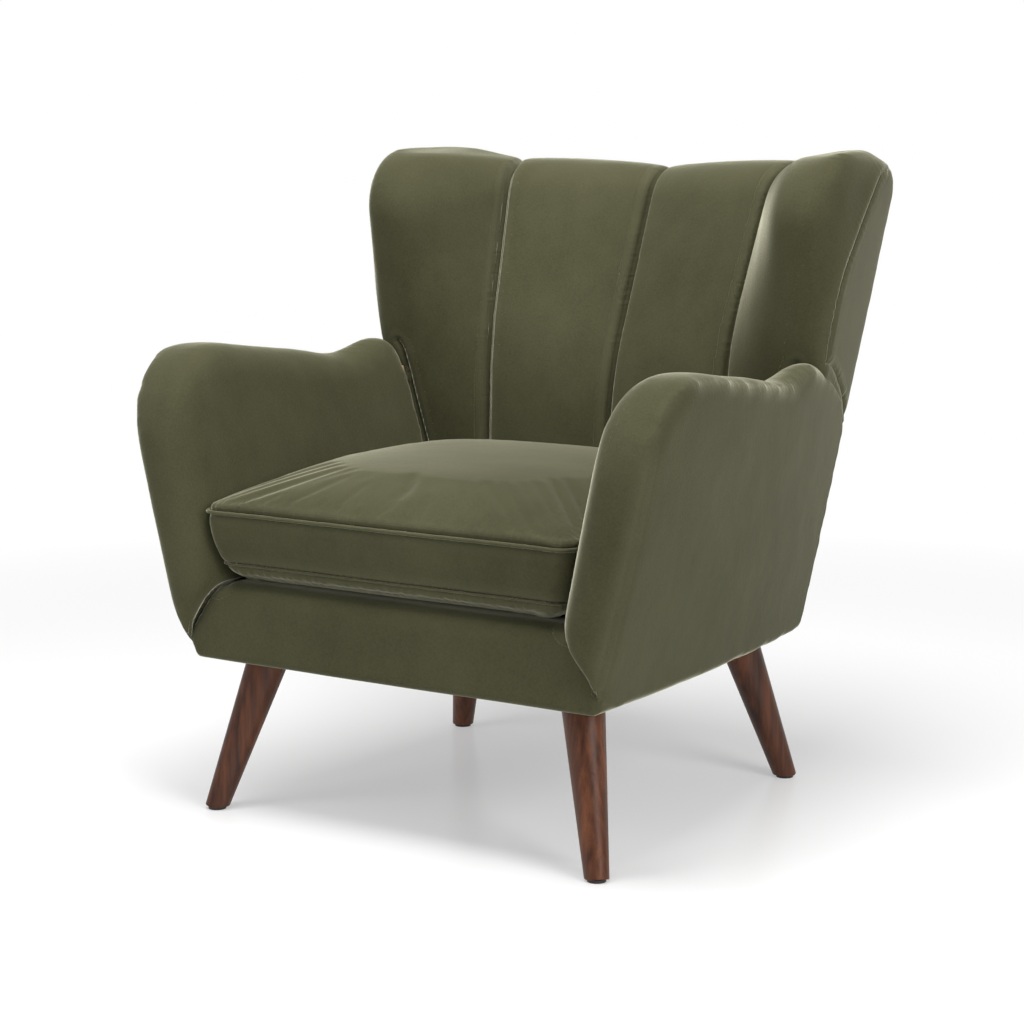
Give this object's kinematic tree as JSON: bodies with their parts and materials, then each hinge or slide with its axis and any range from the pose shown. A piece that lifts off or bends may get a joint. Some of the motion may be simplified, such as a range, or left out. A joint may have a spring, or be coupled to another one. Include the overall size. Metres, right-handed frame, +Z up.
{
  "type": "upholstered wing armchair",
  "caption": "Upholstered armchair with a channelled wing back, scooped arms, a loose boxed seat cushion with piping, and splayed tapered wooden legs.",
  "frame": {"origin": "on the floor, under the middle of the chair's overall extents", "axes": "+Z up, +Y to the back of the chair, +X to the right hand of someone looking at its front from -Y"},
  "size_m": [0.8192, 0.7983, 0.879],
  "materials": {
    "velvet": "cut pile velvet, deep green, with a soft sheen at grazing angles",
    "leg_wood": "dark stained hardwood, satin varnish",
    "frame_wood": "bare sawn hardwood",
    "foam": "moulded and glued foam padding",
    "wadding": "white fibre wadding",
    "steel": "bright drawn and pressed steel",
    "webbing": "woven webbing and hessian",
    "lining": "black non-woven lining",
    "glide_plastic": "dark moulded glide, matte"
  },
  "bodies": {
    "chair": {"leg_front_right": "leg_wood", "leg_front_left": "leg_wood", "leg_rear_right": "leg_wood", "leg_rear_left": "leg_wood", "leg_glides": "glide_plastic", "leg_plates": "steel", "hanger_bolts": "steel", "front_seat_rail": "frame_wood", "rear_seat_rail": "frame_wood", "side_seat_rail_right": "frame_wood", "side_seat_rail_left": "frame_wood", "corner_blocks": "frame_wood", "back_post_right": "frame_wood", "back_post_left": "frame_wood", "back_top_rail": "frame_wood", "back_low_rail": "frame_wood", "back_stile": "frame_wood", "wing_board_right": "frame_wood", "wing_board_left": "frame_wood", "arm_post_right": "frame_wood", "arm_post_left": "frame_wood", "arm_rail_right": "frame_wood", "arm_rail_left": "frame_wood", "seat_springs": "steel", "spring_clips": "steel", "hessian": "webbing", "deck_pad": "foam", "deck_cover": "lining", "back_straps": "webbing", "channel_pad_right": "foam", "channel_pad_left": "foam", "channel_cover_right": "velvet", "channel_cover_left": "velvet", "wing_pad_right": "foam", "wing_pad_left": "foam", "wing_cover_right": "velvet", "wing_cover_left": "velvet", "outside_back": "velvet", "arm_pad_right": "foam", "arm_pad_left": "foam", "arm_cover_right": "velvet", "arm_cover_left": "velvet", "side_panel_right": "velvet", "side_panel_left": "velvet", "wing_band_right": "velvet", "wing_band_left": "velvet", "front_rail_pad": "foam", "front_rail_cover": "velvet", "dust_cover": "lining"},
    "cushion": {"cushion_core": "foam", "cushion_topper": "wadding", "cushion_top_panel": "velvet", "cushion_boxing": "velvet", "cushion_bottom_panel": "velvet", "piping_upper": "velvet", "piping_lower": "velvet", "zip_tape": "velvet"},
    "zip_slider": {"zip_slider": "steel"},
    "zip_pull": {"zip_pull": "steel"}
  },
  "joints": [
    {"name": "cushion_lift", "type": "slide", "parent": "chair", "child": "cushion", "axis": [0, -0.28, 0.96], "range_m": [0, 0.6]},
    {"name": "zip_slider_travel", "type": "slide", "parent": "cushion", "child": "zip_slider", "axis": [1, 0, 0], "range_m": [0, 0.38]},
    {"name": "zip_pull_swing", "type": "hinge", "parent": "zip_slider", "child": "zip_pull", "pos_m": [-0.19, 0.1545, 0.378], "axis": [0, 1, 0], "range_deg": [-75, 75]}
  ]
}
